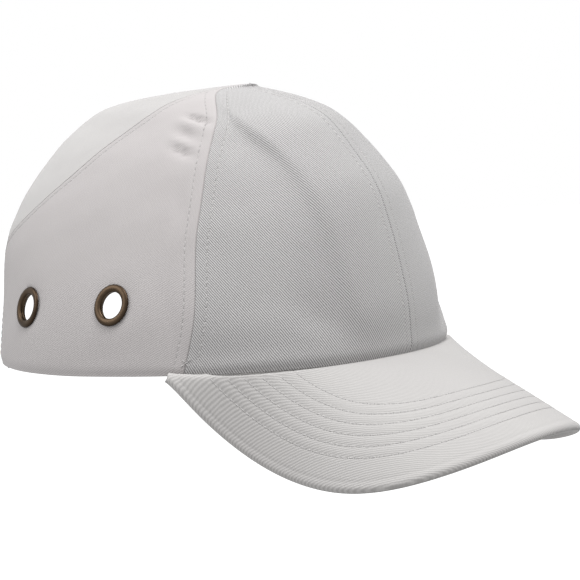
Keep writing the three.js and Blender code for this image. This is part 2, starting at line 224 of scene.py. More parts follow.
def grid_faces(rows, columns, flip=False, wrap=False):
    faces = []
    for i in range(rows - 1):
        for j in range(columns if wrap else columns - 1):
            k = (j + 1) % columns
            quad = (i * columns + j, i * columns + k, (i + 1) * columns + k, (i + 1) * columns + j)
            faces.append(quad[::-1] if flip else quad)
    return faces


def travelled(points, axis):
    """Distance walked along one axis of a grid of points."""
    steps = np.linalg.norm(np.diff(points, axis=axis), axis=-1)
    pad = [(0, 0), (0, 0)]
    pad[axis] = (1, 0)
    return np.cumsum(np.pad(steps, pad), axis=axis)


def laid_flat(points):
    """A grid of points spread out in a plane with its own lengths, as the cloth was cut."""
    rows, columns = points.shape[:2]
    kept_rows = np.unique(np.linspace(0, rows - 1, 14).astype(int))
    kept_columns = np.unique(np.linspace(0, columns - 1, 41).astype(int))
    coarse = points[np.ix_(kept_rows, kept_columns)]
    flat = coarse[..., :2].copy()
    every, ahead, behind = slice(None), slice(1, None), slice(None, -1)
    spans = [
        ((every, ahead), (every, behind)),
        ((ahead, every), (behind, every)),
        ((ahead, ahead), (behind, behind)),
        ((ahead, behind), (behind, ahead)),
    ]
    for _ in range(2500):
        move = np.zeros_like(flat)
        for a, b in spans:
            gap = flat[a] - flat[b]
            wanted = np.linalg.norm(coarse[a] - coarse[b], axis=-1, keepdims=True)
            push = gap * (wanted / np.maximum(np.linalg.norm(gap, axis=-1, keepdims=True), 1e-9) - 1) / 2
            move[a] += push
            move[b] -= push
        flat += 0.25 * move
    powers = [(i, j, k) for i in range(4) for j in range(4 - i) for k in range(4 - i - j)]

    def terms(at):
        at = at.reshape(-1, 3) / 100
        return np.stack([at[:, 0] ** i * at[:, 1] ** j * at[:, 2] ** k for i, j, k in powers], -1)

    fitted = np.linalg.lstsq(terms(coarse), flat.reshape(-1, 2), rcond=None)[0]
    return (terms(points) @ fitted).reshape(rows, columns, 2)


def walked_along(line):
    return np.concatenate([[0], np.cumsum(np.linalg.norm(np.diff(line, axis=0), axis=1))])


def face_outward(piece):
    """Turns every face of a closed mesh outwards."""
    mesh = bmesh.new()
    mesh.from_mesh(piece.data)
    bmesh.ops.recalc_face_normals(mesh, faces=mesh.faces)
    mesh.to_mesh(piece.data)
    mesh.free()


def apply_modifiers(piece):
    bpy.context.view_layer.objects.active = piece
    for modifier in list(piece.modifiers):
        bpy.ops.object.modifier_apply(modifier=modifier.name)


def layer_object(name, face, back, flip=False, flat_weave=False):
    """A closed layer of cloth between two grids of points, the face and the back of the cloth.

    The weave follows the middle of the panel, or lies flat in plan where the cloth is cut flat.
    """
    rows, columns = face.shape[:2]
    count = rows * columns
    across, along = travelled(face, 1), travelled(face, 0)
    uvs = np.stack([across - across[:, -1:] / 2, np.repeat(along[:, columns // 2, None], columns, 1)], -1)
    if flat_weave:
        uvs = laid_flat(face)
    faces = grid_faces(rows, columns, flip)
    faces += [tuple(count + v for v in quad[::-1]) for quad in faces]
    rim = [j for j in range(columns)]
    rim += [i * columns + columns - 1 for i in range(1, rows)]
    rim += [(rows - 1) * columns + j for j in reversed(range(columns - 1))]
    rim += [i * columns for i in reversed(range(1, rows - 1))]
    for a, b in zip(rim, rim[1:] + rim[:1]):
        quad = (b, a, count + a, count + b)
        faces.append(quad[::-1] if flip else quad)
    points = np.concatenate([face.reshape(-1, 3), back.reshape(-1, 3)])
    flat = uvs.reshape(-1, 2)
    piece = new_object(name, points, faces, np.concatenate([flat, flat]))
    piece["width"] = float(travelled(face, 1)[:, -1].max()) * MM
    piece["length"] = float(travelled(face, 0)[-1].max()) * MM
    return piece


def finish_piece(piece, body, nodes, look):
    piece.data.materials.clear()
    piece.data.materials.append(look)
    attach(piece, body)
    if nodes:
        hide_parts(*nodes)
    return piece


def bell(distance, centre, width):
    return np.exp(-(((distance - centre) / width) ** 2))


def columns_for(width, edge_steps, middle_step):
    """Distances across a panel of a width: fine near both edges, even between."""
    edge = np.array(edge_steps, float)
    count = max(4, int((width - 2 * edge[-1]) / middle_step))
    return np.concatenate([edge, np.linspace(edge[-1], width - edge[-1], count)[1:-1], width - edge[::-1]])


# ---- Materials ------------------------------------------------------------------------------


class Nodes:
    """Short hand for building a material's node tree."""

    def __init__(self, name):
        self.material = bpy.data.materials.new(name)
        self.material.use_nodes = True
        self.tree = self.material.node_tree
        self.tree.nodes.clear()
        self.output = self.tree.nodes.new("ShaderNodeOutputMaterial")
        self.shader = self.tree.nodes.new("ShaderNodeBsdfPrincipled")
        self.link(self.shader.outputs[0], self.output.inputs["Surface"])

    def link(self, source, target):
        self.tree.links.new(source, target)

    def set(self, socket, value):
        self.shader.inputs[socket].default_value = value

    def feed(self, socket, source):
        self.link(source, self.shader.inputs[socket])

    def put(self, value, socket):
        if isinstance(value, bpy.types.NodeSocket):
            self.link(value, socket)
        else:
            socket.default_value = value

    def math(self, operation, a, b=0.0):
        node = self.tree.nodes.new("ShaderNodeMath")
        node.operation = operation
        self.put(a, node.inputs[0])
        self.put(b, node.inputs[1])
        return node.outputs[0]

    def coordinates(self, kind):
        return self.tree.nodes.new("ShaderNodeTexCoord").outputs[kind]

    def uv(self):
        node = self.tree.nodes.new("ShaderNodeUVMap")
        node.uv_map = "Weave"
        return node.outputs[0]

    def dot(self, vector, direction):
        node = self.tree.nodes.new("ShaderNodeVectorMath")
        node.operation = "DOT_PRODUCT"
        self.link(vector, node.inputs[0])
        node.inputs[1].default_value = direction
        return node.outputs["Value"]

    def noise(self, vector, scale, detail=2.0, roughness=0.5):
        node = self.tree.nodes.new("ShaderNodeTexNoise")
        self.link(vector, node.inputs["Vector"])
        node.inputs["Scale"].default_value = scale
        node.inputs["Detail"].default_value = detail
        node.inputs["Roughness"].default_value = roughness
        return node.outputs["Fac"]

    def remap(self, value, low, high, to_low, to_high):
        node = self.tree.nodes.new("ShaderNodeMapRange")
        self.link(value, node.inputs["Value"])
        for socket, number in zip(node.inputs[1:5], (low, high, to_low, to_high)):
            socket.default_value = number
        return node.outputs["Result"]

    def mix(self, factor, first, second, blend="MIX"):
        node = self.tree.nodes.new("ShaderNodeMix")
        node.data_type = "RGBA"
        node.blend_type = blend
        self.put(factor, node.inputs[0])
        self.put(first, node.inputs[6])
        self.put(second, node.inputs[7])
        return node.outputs[2]

    def bump(self, height, distance, strength=1.0):
        node = self.tree.nodes.new("ShaderNodeBump")
        node.inputs["Strength"].default_value = strength
        node.inputs["Distance"].default_value = distance
        self.link(height, node.inputs["Height"])
        self.link(node.outputs[0], self.shader.inputs["Normal"])

    def stripes(self, vector, angle, pitch, waver):
        """Threads across a vector: 0 to 1, repeating each pitch along a direction."""
        turn = math.radians(angle)
        along = self.dot(vector, (math.cos(turn) / pitch, math.sin(turn) / pitch, 0))
        shifted = self.math("ADD", along, waver)
        wave = self.math("SINE", self.math("MULTIPLY", shifted, 2 * math.pi))
        return self.remap(wave, -1, 1, 0, 1)


def rgba(red, green, blue):
    return (red, green, blue, 1.0)


def shade(colour, factor):
    return rgba(*(min(1.0, c * factor) for c in colour[:3]))


def cotton_twill(name, colour, twill_angle, contrast=0.85):
    """Diagonal twill ribs crossed by finer yarns, with slub, faint soiling and soft fuzz."""
    n = Nodes(name)
    uv, place = n.uv(), n.coordinates("Object")
    waver = n.math("MULTIPLY", n.noise(uv, 420, 3), 0.55)
    ribs = n.stripes(uv, twill_angle, 0.88 * MM, waver)
    yarns = n.stripes(uv, twill_angle + 62, 0.52 * MM, waver)
    slub = n.noise(uv, 1500, 2)
    patches = n.noise(place, 22, 3)
    weave = n.math("ADD", n.math("MULTIPLY", ribs, 0.7), n.math("MULTIPLY", yarns, 0.3))
    grain = n.math("ADD", n.math("MULTIPLY", weave, 0.76), n.math("MULTIPLY", slub, 0.24))
    dark, light = shade(colour, 1 - contrast), shade(colour, 1 + contrast * 0.55)
    woven = n.mix(grain, dark, light)
    tone = n.mix(n.remap(patches, 0.3, 0.7, 0, 1), rgba(0.955, 0.95, 0.955), rgba(1, 1, 1))
    n.feed("Base Color", n.mix(1.0, woven, tone, "MULTIPLY"))
    n.feed("Roughness", n.remap(slub, 0.2, 0.8, 0.82, 0.98))
    n.bump(grain, 0.16 * MM, 0.55)
    n.set("Sheen Weight", 0.25)
    n.set("Sheen Roughness", 0.55)
    n.set("Specular IOR Level", 0.2)
    return n.material


def woven_tape(name, colour, pitch, roughness=0.9):
    """Plain or ribbed narrow fabric, by place rather than along a seam."""
    n = Nodes(name)
    place = n.coordinates("Object")
    waver = n.math("MULTIPLY", n.noise(place, 300, 2), 0.6)
    across = n.stripes(place, 35, pitch, waver)
    wave = n.math("SINE", n.math("MULTIPLY", n.dot(place, (0, 0, 1 / pitch)), 2 * math.pi))
    upright = n.remap(wave, -1, 1, 0, 1)
    grain = n.math("MULTIPLY", n.math("ADD", across, upright), 0.5)
    fuzz = n.noise(place, 900, 2)
    woven = n.mix(grain, shade(colour, 0.8), shade(colour, 1.12))
    n.feed("Base Color", n.mix(n.remap(fuzz, 0.3, 0.7, 0, 0.25), woven, shade(colour, 0.7)))
    n.feed("Roughness", n.remap(fuzz, 0.2, 0.8, roughness - 0.1, min(1, roughness + 0.08)))
    n.bump(grain, 0.15 * MM, 0.5)
    n.set("Sheen Weight", 0.2)
    n.set("Specular IOR Level", 0.2)
    return n.material


def hook_or_loop(name, colour, scale):
    """A field of tiny hooks or loops, lighter at their tips and darker between them: painted highlight and
    shade on one colour.
    """
    n = Nodes(name)
    place = n.coordinates("Object")
    cells = n.tree.nodes.new("ShaderNodeTexVoronoi")
    n.link(place, cells.inputs["Vector"])
    cells.inputs["Scale"].default_value = scale
    tips = n.remap(cells.outputs["Distance"], 0, 0.6, 1, 0)
    n.feed("Base Color", n.mix(tips, shade(colour, 0.55), shade(colour, 1.25)))
    n.feed("Roughness", n.remap(tips, 0, 1, 0.95, 0.6))
    n.bump(tips, 0.4 * MM, 0.8)
    return n.material


def moulded_plastic(name, colour, roughness, texture_scale):
    """Fine spark texture, with slightly glossier rubbed places."""
    n = Nodes(name)
    place = n.coordinates("Object")
    grain = n.noise(place, texture_scale, 3)
    wear = n.noise(place, 30, 3)
    tone = n.mix(n.remap(wear, 0.35, 0.75, 0, 1), shade(colour, 0.88), shade(colour, 1.25))
    n.feed("Base Color", tone)
    n.feed("Roughness", n.remap(wear, 0.3, 0.8, roughness + 0.1, roughness - 0.08))
    n.bump(grain, 0.08 * MM, 0.4)
    n.set("Specular IOR Level", 0.45)
    return n.material


def aged_bronze(name):
    """Dark patina in the hollows and brighter metal where the roll is rubbed."""
    n = Nodes(name)
    place = n.coordinates("Object")
    geometry = n.tree.nodes.new("ShaderNodeNewGeometry")
    rubbed = n.remap(geometry.outputs["Pointiness"], 0.47, 0.56, 0, 1)
    blotch = n.noise(place, 260, 4)
    amount = n.math("MULTIPLY", rubbed, n.remap(blotch, 0.3, 0.7, 0.45, 1))
    colour = n.mix(amount, rgba(0.045, 0.03, 0.02), rgba(0.33, 0.232, 0.148))
    n.feed("Base Color", colour)
    n.feed("Roughness", n.remap(blotch, 0.25, 0.75, 0.28, 0.5))
    n.bump(blotch, 0.05 * MM, 0.3)
    n.set("Metallic", 1.0)
    return n.material


def foam_cloth(name, colour):
    """Brushed knit over foam."""
    n = Nodes(name)
    place = n.coordinates("Object")
    knit = n.noise(place, 1400, 2)
    broad = n.noise(place, 60, 3)
    tone = n.mix(knit, shade(colour, 0.65), shade(colour, 1.5))
    n.feed("Base Color", n.mix(n.remap(broad, 0.3, 0.7, 0, 0.3), tone, shade(colour, 0.8)))
    n.feed("Roughness", n.remap(knit, 0.3, 0.7, 0.85, 1.0))
    n.bump(knit, 0.2 * MM, 0.6)
    n.set("Sheen Weight", 0.4)
    n.set("Sheen Roughness", 0.5)
    return n.material


def sewing_thread(name, colour):
    n = Nodes(name)
    place = n.coordinates("Object")
    twist = n.noise(place, 2400, 2)
    n.feed("Base Color", n.mix(twist, shade(colour, 0.82), shade(colour, 1.1)))
    n.feed("Roughness", n.remap(twist, 0.2, 0.8, 0.6, 0.85))
    n.bump(twist, 0.05 * MM, 0.3)
    return n.material


CLOTH_GREY = rgba(0.505, 0.496, 0.494)
PEAK_GREY = rgba(0.51, 0.498, 0.488)
TAPE_GREY = rgba(0.46, 0.45, 0.44)

# One cloth on all crown panels: the twill directions are its own, but the small brightness steps between
# panels and the front panels' far stronger, darker rib contrast are tuned to how each panel is lit, so they
# are painted light and shade.
front_twill = cotton_twill("front_twill", rgba(0.508, 0.499, 0.497), -38, 0.94)
side_twill = cotton_twill("side_twill", rgba(0.492, 0.468, 0.465), 62, 0.22)
back_twill = cotton_twill("back_twill", rgba(0.52, 0.508, 0.50), 24, 0.2)
peak_twill = cotton_twill("peak_twill", PEAK_GREY, 38, 0.3)
# The under cloth is the peak twill darkened by 0.92: painted shade for the side of the peak that faces down.
under_twill = cotton_twill("under_twill", shade(PEAK_GREY, 0.92), 38, 0.3)
tape_cloth = woven_tape("tape_cloth", TAPE_GREY, 0.7 * MM)
band_cloth = woven_tape("band_cloth", rgba(0.52, 0.50, 0.48), 0.9 * MM, 0.88)
strap_cloth = woven_tape("strap_cloth", CLOTH_GREY, 0.8 * MM)
thread_look = sewing_thread("thread", rgba(0.50, 0.488, 0.483))
# The needle-hole discs' dark grey is painted shade for the holes in the cloth.
needle_hole_shade_look = sewing_thread("needle_hole", rgba(0.34, 0.33, 0.325))
bronze = aged_bronze("bronze")
shell_plastic = moulded_plastic("shell_plastic", rgba(0.03, 0.031, 0.034), 0.42, 1600)
board_plastic = moulded_plastic("board_plastic", rgba(0.72, 0.72, 0.70), 0.5, 900)
foam = foam_cloth("foam", rgba(0.055, 0.06, 0.066))
hook_tape = hook_or_loop("hook_tape", rgba(0.34, 0.33, 0.325), 900)
loop_tape = hook_or_loop("loop_tape", rgba(0.36, 0.35, 0.345), 1400)


# ---- Stitches -------------------------------------------------------------------------------

SPINDLE_RINGS = [(-1.0, 0.25), (-0.7, 0.9), (0.0, 1.0), (0.7, 0.9), (1.0, 0.25)]
SPINDLE_SIDES = 6


def stitch_parts(line, normals, pitch=STITCH_PITCH):
    """Middle, direction and normal of each stitch along a line of points."""
    steps = walked_along(line)
    count = int(steps[-1] / pitch)
    if count < 1:
        return []
    at = (np.arange(count) + 0.5) * steps[-1] / count

    def sample(values, where):
        return np.stack([np.interp(where, steps, values[:, k]) for k in range(3)], -1)

    middle = sample(line, at)
    heading = sample(line, at + 0.4) - sample(line, at - 0.4)
    heading /= np.linalg.norm(heading, axis=1, keepdims=True)
    out = sample(normals, at)
    out /= np.linalg.norm(out, axis=1, keepdims=True)
    return list(zip(middle, heading, out))


def stitches(name, parts, body, length=STITCH_LENGTH):
    """One piece holding every stitch as a small spindle of thread."""
    points, faces = [], []
    for middle, heading, out in parts:
        side = np.cross(heading, out)
        base = len(points)
        for along, swell in SPINDLE_RINGS:
            for k in range(SPINDLE_SIDES):
                turn = 2 * math.pi * k / SPINDLE_SIDES
                ring = THREAD * swell * (math.cos(turn) * side + 0.8 * math.sin(turn) * out)
                sink = 0.12 * along * along
                points.append(middle + heading * along * length / 2 + ring - out * sink)
        rings = len(SPINDLE_RINGS)
        for quad in grid_faces(rings, SPINDLE_SIDES, wrap=True):
            faces.append(tuple(base + v for v in quad))
        faces.append(tuple(base + k for k in reversed(range(SPINDLE_SIDES))))
        faces.append(tuple(base + (rings - 1) * SPINDLE_SIDES + k for k in range(SPINDLE_SIDES)))
    piece = new_object(name, points, faces)
    return finish_piece(piece, body, [], thread_look)


def needle_holes(name, parts, body, pitch=STITCH_PITCH):
    """Small dark discs laid just above the cloth where the thread goes down between stitches: painted shade
    standing in for the needle holes.
    """
    points, faces = [], []
    sides = 6
    for middle, heading, out in parts:
        side = np.cross(heading, out)
        centre = middle + heading * pitch / 2 + out * 0.02
        base = len(points)
        for height, radius in ((0.0, 0.26), (0.05, 0.15)):
            for k in range(sides):
                turn = 2 * math.pi * k / sides
                spoke = math.cos(turn) * heading + math.sin(turn) * side
                points.append(centre + radius * spoke + out * height)
        for k in range(sides):
            following = (k + 1) % sides
            faces.append((base + k, base + following, base + sides + following, base + sides + k))
        faces.append(tuple(base + sides + k for k in range(sides)))
        faces.append(tuple(base + k for k in reversed(range(sides))))
    piece = new_object(name, points, faces)
    return finish_piece(piece, body, [], needle_hole_shade_look)


# ---- Crown panels ---------------------------------------------------------------------------

EDGE_STEPS = [0, 0.12, 0.25, 0.4, 0.65, 1.1, 1.8, 2.6, 3.4, 4.1, 4.6, 5.0, 5.4, 5.8, 6.4, 7.2, 8.4, 10]
TOPSTITCH = {"centre": 4.3, "side": 5.0, "back": 3.8, "none": 1000.0}
# The groove along a seam, and the pressed line of topstitching beside it.
GROOVE_DEPTH, GROOVE_WIDTH, PRESSED_DEPTH = 0.55, 0.24, 0.14
# Soft dents: share, direction, size in share, size in degrees, depth in millimetres.
DENTS = [
    (0.640, 53.0, 0.011, 6.0, 2.5),
    (0.612, 57.0, 0.015, 6.5, -1.5),
    (0.575, 60.0, 0.012, 6.0, 1.2),
    (0.545, 62.0, 0.014, 6.5, -0.9),
    (0.515, 61.0, 0.012, 5.5, 2.0),
    (0.35, 60.0, 0.05, 2.6, 0.5),
    (0.13, 66.0, 0.06, 3.5, 0.6),
    (0.10, 26.0, 0.035, 6.0, 1.2),
    (0.22, 128.0, 0.08, 4.0, 0.4),
    (0.30, 95.0, 0.09, 6.0, 0.35),
]
DENT_SLANT = 0.003  # share per degree
# The front panel bulges over the shell up to a soft crease and lies flatter from there to the
# side seam. Share and direction of the crease.
CREASE = [[0.08, 16.0], [0.15, 17.7], [0.284, 18.9], [0.461, 24.0], [0.631, 36.0]]
CREASE_DEPTH = 3.1
crease_rows = smooth_table(CREASE)


def ripple(share, angle):
    """Low, uneven waves of worn cloth, in millimetres."""
    turn = np.radians(angle)
    first = np.sin(3 * turn + 9 * share + 0.4) * np.sin(14 * share + 1.1)
    second = np.sin(8 * turn - 21 * share + 2.0) * np.sin(5 * turn + 17 * share)
    third = np.sin(17 * turn + 37 * share) * np.sin(29 * share - 7 * turn + 0.7)
    return (0.22 * first + 0.16 * second + 0.07 * third) * np.clip((1 - share) * 4, 0, 1)


def cloth_shape(share, angle):
    """How far the cloth stands off the plain crown surface, in millimetres."""
    out = ripple(share, angle)
    mirrored_angle = np.where(angle > 180, angle - 360, angle)
    for at_share, at_angle, share_size, angle_size, depth in DENTS:
        near = bell(share - DENT_SLANT * (np.abs(mirrored_angle) - at_angle), at_share, share_size)
        out = out - depth * near * bell(np.abs(mirrored_angle), at_angle, angle_size)
    start, end = crease_rows(share)[..., 0], side_seam(share)
    across = np.clip((np.abs(mirrored_angle) - start) / (end - start), 0, 1)
    fade = np.clip((share - 0.03) * 9, 0, 1) * np.clip((0.70 - share) * 6, 0, 1)
    out = out - 0.5 * fade * bell(across, 0.09, 0.06)
    return out - CREASE_DEPTH * fade * np.sin(math.pi * across**0.62) * (1 - np.exp(-across * 14))


def seam_shape(distance, stitch_distance, taper):
    """Rolled edge, the raised seam allowance and the pressed line of topstitching."""
    rolled = -GROOVE_DEPTH * np.exp(-((distance / GROOVE_WIDTH) ** 2)) * min(1.0, 3 * taper)
    raised = 0.08 * bell(distance, stitch_distance * 0.5, 1.6)
    pressed = -PRESSED_DEPTH * bell(distance, stitch_distance, 0.45)
    return (rolled + (raised + pressed) * taper) if stitch_distance < 100 else rolled


def eyelet_dent(points):
    out = np.zeros(points.shape[:-1])
    for angle, height in EYELETS.values():
        share = share_at_height(height)
        for sign in (1, -1):
            centre = on_crown(share, sign * angle, 0.0)
            distance = np.linalg.norm(points - centre, axis=-1)
            out -= 0.35 * np.exp(-(((np.maximum(distance, 9) - 9) / 3.0) ** 2))
    return out


def panel_rows():
    hem = [0, 0.002, 0.004, 0.007, 0.011, 0.016, 0.024]
    return np.concatenate([hem, np.linspace(0.032, 0.97, 66), [0.98, 0.99, 0.9995]])


def edge_places(walked):
    """Width of a row, how much of the full edge pattern fits, and the steps in from an edge."""
    room = min(1.0, walked[-1] / (2.6 * EDGE_STEPS[-1]))
    return walked[-1], room, np.array(EDGE_STEPS) * room


def crown_panel(name, first_edge, second_edge, first_stitch, second_stitch):
    """Panel between two seams, given as functions of the share of the way up."""
    shares = panel_rows()
    level = crown_point(0.2, np.linspace(first_edge(0.2), second_edge(0.2), 60))
    width = np.linalg.norm(np.diff(level, axis=0), axis=1).sum()
    across = columns_for(width, EDGE_STEPS, 2.6)
    points, backs = [], []
    for share in shares:
        fine = np.linspace(float(first_edge(share)), float(second_edge(share)), 160)
        line = crown_point(share, fine)
        walked = walked_along(line)
        total, room, edge = edge_places(walked)
        inner = (across[len(edge):-len(edge)] - EDGE_STEPS[-1]) / (width - 2 * EDGE_STEPS[-1])
        place = np.concatenate([edge, edge[-1] + inner * (total - 2 * edge[-1]), total - edge[::-1]])
        angle = np.interp(place, walked, fine)
        out = cloth_shape(np.full_like(angle, share), angle)
        out += seam_shape(place, first_stitch, room) + seam_shape(total - place, second_stitch, room)
        out -= 0.9 * math.exp(-((share / 0.011) ** 2))
        surface = crown_point(share, angle)
        rolled_hem = 0.5 * bell(surface[:, 2], 4.0, 3.0) * np.clip((70 - np.abs(angle)) / 20, 0, 1)
        out += eyelet_dent(surface) + rolled_hem - 0.05
        normal = crown_normal(np.full_like(angle, share), angle)
        points.append(surface + out[:, None] * normal)
        backs.append(surface + (out - CLOTH)[:, None] * normal)
    return layer_object(name, np.array(points), np.array(backs), flip=True)


def topstitch_line(edge, distance, low, high, side):
    """Points and normals of a stitch row beside a seam; side is 1 for greater directions."""
    shares = np.linspace(low, high, 260)
    angles = edge(shares)
    degree = crown_point(shares, angles + 0.5) - crown_point(shares, angles - 0.5)
    per_degree = np.linalg.norm(degree, axis=-1)
    place = angles + side * distance / per_degree
    out = cloth_shape(shares, place) + eyelet_dent(crown_point(shares, place)) - 0.12
    return on_crown(shares, place, out), crown_normal(shares, place)


def centre(share):
    return np.asarray(share) * 0.0


def on_side(edge, sign):
    """An edge's direction on the wearer's right, sign 1, or left, sign -1."""
    return lambda share: sign * edge(share)


def build_panels():
    def rear_edge(share):
        share = np.asarray(share, float)
        return np.where(share <= CORNER_SHARE, arch_angle(np.minimum(share, CORNER_SHARE)), back_seam(share))

    for side, sign in (("right", 1), ("left", -1)):
        front_end, rear_end = on_side(side_seam, sign), on_side(rear_edge, sign)
        order = slice(None, None, sign)
        front_ends, front_rows = (centre, front_end), (TOPSTITCH["centre"], TOPSTITCH["side"])
        flank_ends, flank_rows = (front_end, rear_end), (TOPSTITCH["side"], TOPSTITCH["back"])
        front = crown_panel(f"front_cloth_{side}", *front_ends[order], *front_rows[order])
        flank = crown_panel(f"side_cloth_{side}", *flank_ends[order], *flank_rows[order])
        cut_eyelet_holes(flank, sign)
        finish_piece(front, "cap", [f"front_panel_{side}"], front_twill)
        finish_piece(flank, "cap", [f"side_panel_{side}"], side_twill)
    back = back_cloth()
    finish_piece(back, "cap", ["back_panel"], back_twill)


def back_cloth():
    """Back panel, from the half-moon opening's edge up to the top."""
    rows = np.concatenate([[0, 0.003, 0.007, 0.012, 0.02, 0.03], np.linspace(0.045, 0.985, 60), [1.0]])
    columns = 2 * len(EDGE_STEPS) + 44
    points = np.zeros((len(rows), columns, 3))
    backs = np.zeros_like(points)
    fine = np.linspace(-1, 1, 241)
    for i, climb in enumerate(rows):
        share = arch_share(fine) * (1 - climb) + 0.9995 * climb
        angle = 180 + fine * (180 - back_seam(share))
        line = crown_point(share, angle)
        walked = walked_along(line)
        total, room, edge = edge_places(walked)
        inner = np.linspace(edge[-1], total - edge[-1], 46)[1:-1]
        place = np.concatenate([edge, inner, total - edge[::-1]])
        shares, angles = np.interp(place, walked, share), np.interp(place, walked, angle)
        out = cloth_shape(shares, angles)
        for distance in (place, total - place):
            out += seam_shape(distance, TOPSTITCH["none"], room)
        points[i] = on_crown(shares, angles, out - 0.05)
        backs[i] = on_crown(shares, angles, out - 0.05 - CLOTH)
    return layer_object("back_cloth", points, backs, flip=True)


def cut_eyelet_holes(panel, sign):
    """Round holes for the eyelet barrels, cut through the finished panel."""
    for label, (angle, height) in EYELETS.items():
        bpy.ops.mesh.primitive_cylinder_add(vertices=40, radius=(EYELET_BARREL + 0.5) * MM, depth=30 * MM)
        cutter = bpy.context.object
        cutter.matrix_world = eyelet_frame(angle * sign, height)
        bpy.context.view_layer.update()
        hole = panel.modifiers.new(f"Hole_{label}", "BOOLEAN")
        hole.operation = "DIFFERENCE"
        hole.object = cutter
        apply_modifiers(panel)
        bpy.data.objects.remove(cutter)


def eyelet_frame(angle, height):
    """Place of an eyelet: its axis is the crown's normal."""
    share = share_at_height(height)
    centre = on_crown(share, angle, 0.0) * MM
    normal = Vector(crown_normal(share, angle))
    return Matrix.Translation(Vector(centre)) @ normal.to_track_quat("Z", "Y").to_matrix().to_4x4()


# ---- Eyelets --------------------------------------------------------------------------------


def lathe(name, profile, sides, place):
    """Closed ring turned from a profile of (radius, height) in millimetres."""
    turns = np.arange(sides) * 2 * math.pi / sides
    points = [[r * math.cos(t), r * math.sin(t), z] for r, z in profile for t in turns]
    faces = grid_faces(len(profile), sides, flip=True, wrap=True)
    last = (len(profile) - 1) * sides
    for k in range(sides):
        n = (k + 1) % sides
        faces.append((last + n, last + k, k, n)[::-1])
    piece = new_object(name, points, faces)
    piece.data.transform(place)
    return piece


def build_eyelets():
    outer = EYELET_FLANGE - 0.3
    middle, half = (EYELET_HOLE + outer) / 2, (outer - EYELET_HOLE) / 2
    ring = [(EYELET_BARREL - 0.3, -2.1), (EYELET_BARREL, -2.1), (EYELET_BARREL, -0.3), (outer - 0.5, -0.3)]
    for step in range(17):
        turn = math.pi * step / 16
        ring.append((middle + half * math.cos(turn), 1.05 * math.sin(turn) ** 0.8 - 0.05))
    ring += [(EYELET_HOLE + 0.02, -0.4), (EYELET_HOLE + 0.15, -1.2)]
    washer = [(EYELET_BARREL + 0.3, -2.3), (outer - 0.2, -2.3), (outer + 0.1, -2.1)]
    washer += [(outer + 0.1, -1.95), (outer - 0.3, -1.8), (EYELET_BARREL + 0.4, -1.85)]
    for label, (angle, height) in EYELETS.items():
        for side, sign in (("right", 1), ("left", -1)):
            place = eyelet_frame(sign * angle, height)
            eyelet = lathe(f"bronze_eyelet_{label}_{side}", ring, 64, place)
            finish_piece(eyelet, "cap", [f"eyelet_{label}_{side}"], bronze)
            back = lathe(f"bronze_washer_{label}_{side}", washer, 48, place)
            finish_piece(back, "cap", [f"washer_{label}_{side}"], bronze)


# ---- Peak -----------------------------------------------------------------------------------


def peak_edge_curve(samples):
    """Smooth outer edge of the peak, from the wearer's right root to the left one."""
    right = [[-x, y, z] for x, y, z in reversed(PEAK_EDGE)]
    knots = np.array(right + PEAK_EDGE[1:], float)
    gaps = np.linalg.norm(np.diff(knots, axis=0), axis=1) ** 0.5
    where = np.concatenate([[0], np.cumsum(gaps)])
    curve = smooth_table(np.column_stack([where, knots]))
    steps = np.interp(samples * (len(knots) - 1), np.arange(len(knots)), where)
    line = curve(steps)
    smooth = line.copy()
    for _ in range(30):
        smooth[1:-1] = 0.25 * smooth[:-2] + 0.5 * smooth[1:-1] + 0.25 * smooth[2:]
    return smooth


def peak_grid(columns, rows):
    """Middle surface of the peak, rows counted from the crown out to the edge."""
    u = np.linspace(0, 1, columns)
    root = on_crown(np.zeros(columns), PEAK_ROOT_ANGLE * (1 - 2 * u), PEAK_CROWN_GAP)
    edge = peak_edge_curve(u)
    v = np.asarray(rows)[:, None, None]
    points = root[None] * (1 - v) + edge[None] * v
    points[..., 2] += PEAK_BULGE * 4 * v[..., 0] * (1 - v[..., 0]) * np.sin(math.pi * u)[None]
    points[..., 2] -= PEAK_ROOT_DROP * (1 - v[..., 0]) ** 7
    return points, edge


def surface_normals(points):
    along = np.gradient(points, axis=1)
    out = np.gradient(points, axis=0)
    normal = np.cross(along, out)
    length = np.linalg.norm(normal, axis=-1, keepdims=True)
    normal = normal / np.maximum(length, 1e-9)
    return normal * np.where(normal[..., 2:3] < 0, -1, 1)


def nearest_distance(points, line):
    flat = points.reshape(-1, 3)
    best = np.full(len(flat), 1e9)
    for start in range(len(line) - 1):
        a, b = line[start], line[start + 1]
        t = np.clip(((flat - a) @ (b - a)) / max((b - a) @ (b - a), 1e-12), 0, 1)
        best = np.minimum(best, np.linalg.norm(flat - a - t[:, None] * (b - a), axis=1))
    return best.reshape(points.shape[:-1])


PEAK_ROWS = np.unique(np.concatenate([
    [0, 0.01, 0.02, 0.03],
    np.linspace(0.045, 0.93, 96),
    1 - 0.062 * (1 - np.linspace(0, 1, 18)) ** 1.6,
]))


